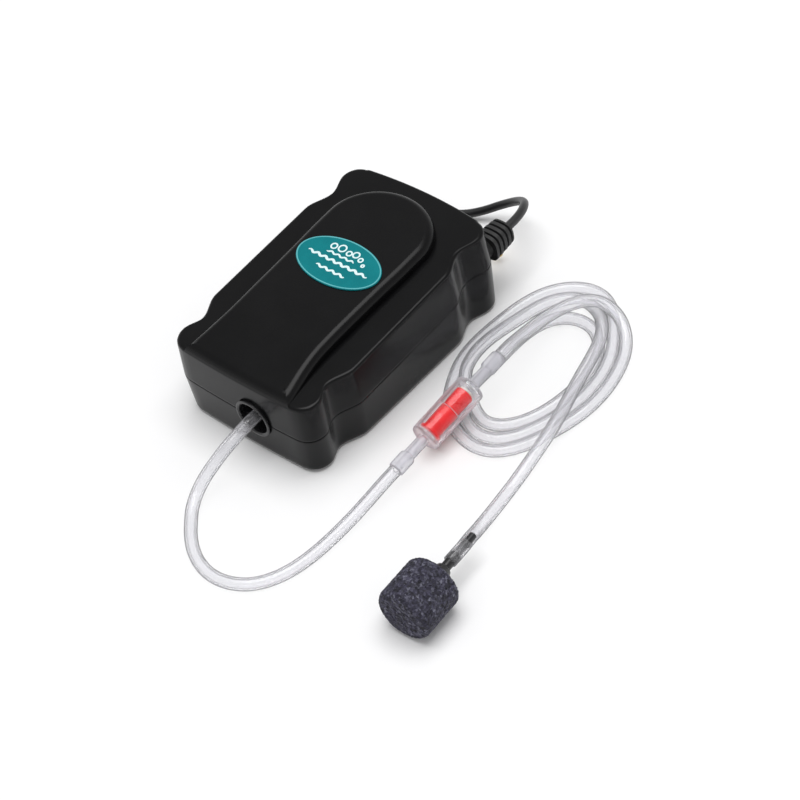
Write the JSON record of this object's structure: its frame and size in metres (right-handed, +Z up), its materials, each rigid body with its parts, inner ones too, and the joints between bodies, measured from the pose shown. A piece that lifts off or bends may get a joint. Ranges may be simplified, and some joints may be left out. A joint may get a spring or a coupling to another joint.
{
  "type": "aquarium air pump",
  "caption": "Electromagnet diaphragm air pump in a black two-part case with rubber feet, with airline tubing, an in-line check valve, a cylindrical air stone and a mains lead with plug.",
  "frame": {"origin": "centre of the pump's footprint, on the surface the rubber feet stand on", "axes": "+Z up; +Y along the case, from the air outlet at the front to the mains lead at the back; +X to the side where the check valve and coil lie"},
  "size_m": [0.2174, 0.2459, 0.0539],
  "materials": {
    "case_black": "fine satin texture",
    "badge_print": "printed label, semi-gloss",
    "foot_rubber": "matt",
    "screw_steel": "zinc plated",
    "sheet_steel": "cold rolled",
    "core_iron": "stacked laminations",
    "coil_copper": "enamelled copper wire",
    "moulded_nylon": "natural nylon",
    "magnet_ferrite": "matt dark grey",
    "silicone": "translucent",
    "wire_sleeve": "extruded",
    "filter_wool": "pressed felt",
    "outlet_black": "moulded",
    "clear_airline": "clear flexible vinyl",
    "clear_acrylic": "clear moulded",
    "valve_red": "moulded",
    "stone_grit": "coarse bonded grit",
    "lead_black": "satin sheath",
    "plug_black": "moulded",
    "plug_brass": "polished"
  },
  "bodies": {
    "pump": {"upper_cover": "case_black", "lower_case": "case_black", "filter_cover": "case_black", "badge": "badge_print", "foot_1": "foot_rubber", "foot_2": "foot_rubber", "foot_3": "foot_rubber", "foot_4": "foot_rubber", "strain_relief": "foot_rubber", "arm_mount": "foot_rubber", "case_screw_1": "screw_steel", "case_screw_2": "screw_steel", "case_screw_3": "screw_steel", "case_screw_4": "screw_steel", "core_screw_1": "screw_steel", "core_screw_2": "screw_steel", "head_screw_1": "screw_steel", "head_screw_2": "screw_steel", "core_strap": "sheet_steel", "diaphragm_clamp": "sheet_steel", "magnet_core": "core_iron", "coil_winding": "coil_copper", "bobbin": "moulded_nylon", "pump_head": "moulded_nylon", "valve_plate": "moulded_nylon", "chamber_ring": "moulded_nylon", "cord_clamp": "moulded_nylon", "inner_hose": "silicone", "lead_wire_1": "wire_sleeve", "lead_wire_2": "wire_sleeve", "filter_felt": "filter_wool", "outlet_ring": "outlet_black", "outlet_nozzle": "outlet_black", "stone_nipple": "outlet_black", "airline_tube": "clear_airline", "airline_lead": "clear_airline", "airline_coil": "clear_airline", "airline_run": "clear_airline", "valve_lower_half": "clear_acrylic", "valve_upper_half": "clear_acrylic", "valve_insert": "valve_red", "air_stone": "stone_grit", "mains_lead": "lead_black", "mains_tail": "lead_black", "mains_hank": "lead_black", "hank_tie": "lead_black", "plug_relief": "lead_black", "cord_inner_end": "lead_black", "plug_body": "plug_black", "plug_blade_1": "plug_brass", "plug_blade_2": "plug_brass"},
    "arm": {"swing_arm": "sheet_steel", "arm_magnet": "magnet_ferrite"},
    "diaphragm_centre": {"diaphragm_washer": "sheet_steel", "diaphragm_screw": "screw_steel", "diaphragm": "silicone"},
    "inlet_valve": {"inlet_flap": "silicone"},
    "outlet_valve": {"outlet_flap": "silicone"},
    "check_disc": {"valve_disc": "silicone"}
  },
  "joints": [
    {"name": "arm_swing", "type": "hinge", "parent": "pump", "child": "arm", "pos_m": [-0.006, -0.044, 0.0268], "axis": [1, 0, 0], "range_deg": [-1.2, 1.2], "stiffness_Nm_per_rad": 3.5},
    {"name": "diaphragm_stroke", "type": "slide", "parent": "pump", "child": "diaphragm_centre", "axis": [0, 0, 1], "range_m": [-0.0007, 0.0007], "deforming": ["diaphragm"]},
    {"name": "inlet_flap_lift", "type": "hinge", "parent": "pump", "child": "inlet_valve", "pos_m": [-0.0154, -0.012, 0.0126], "axis": [0, -1, 0], "range_deg": [0, 8], "stiffness_Nm_per_rad": 0.001},
    {"name": "outlet_flap_drop", "type": "hinge", "parent": "pump", "child": "outlet_valve", "pos_m": [0.004, -0.012, 0.0095], "axis": [0, -1, 0], "range_deg": [0, 8], "stiffness_Nm_per_rad": 0.001},
    {"name": "check_disc_lift", "type": "slide", "parent": "pump", "child": "check_disc", "axis": [0.0139, 0.9939, 0.1097], "range_m": [0, 0.0012]}
  ],
  "couplings": [
    {"joint": "diaphragm_stroke", "follows": "arm_swing", "m_per_rad": 0.032}
  ]
}
